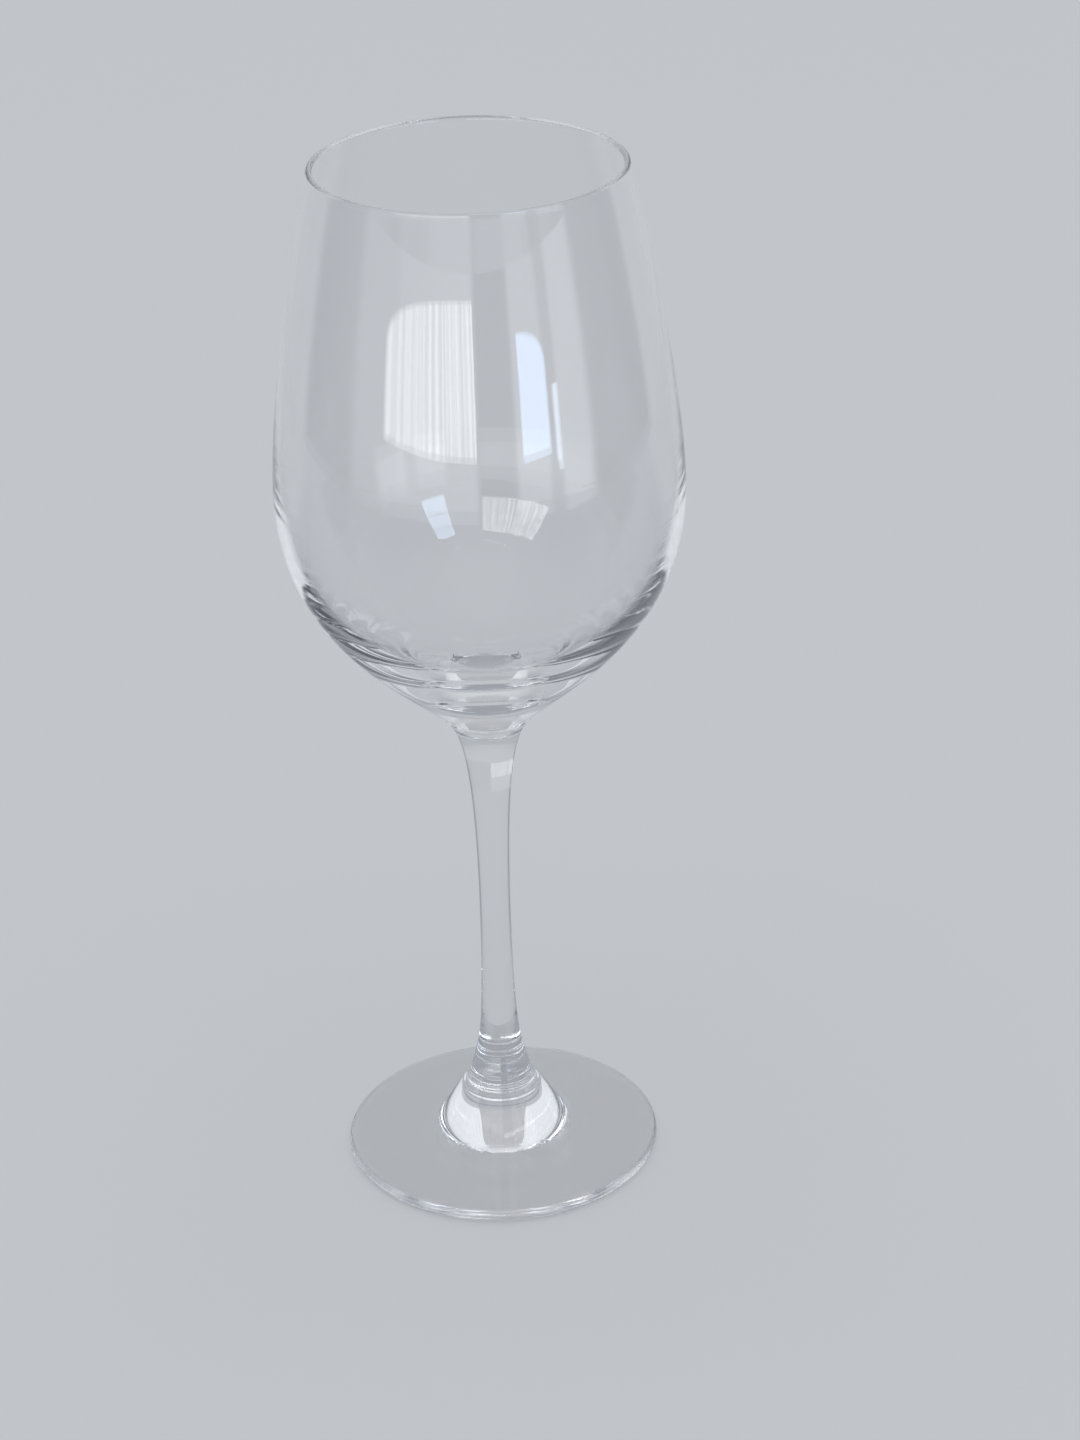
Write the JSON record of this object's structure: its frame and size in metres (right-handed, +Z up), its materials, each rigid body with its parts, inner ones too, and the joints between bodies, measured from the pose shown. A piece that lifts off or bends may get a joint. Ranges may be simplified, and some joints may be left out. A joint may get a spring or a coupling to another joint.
{
  "type": "wine glass",
  "caption": "Clear stemmed wine glass with a tulip bowl, a slender flared stem and a wide disc foot with a ringed collar.",
  "frame": {"origin": "middle of the foot's resting plane, on the axis of the glass", "axes": "+Z up along the axis of the glass, from the foot to the lip; the glass is round, so +X and +Y are free"},
  "size_m": [0.082, 0.082, 0.22],
  "materials": {
    "bowl_glass": "clear, fire polished",
    "stem_glass": "clear, fire polished",
    "foot_glass": "clear, pressed, with fine rings on its collar"
  },
  "bodies": {
    "root": {"bowl": "bowl_glass", "stem": "stem_glass", "foot": "foot_glass"}
  },
  "joints": []
}
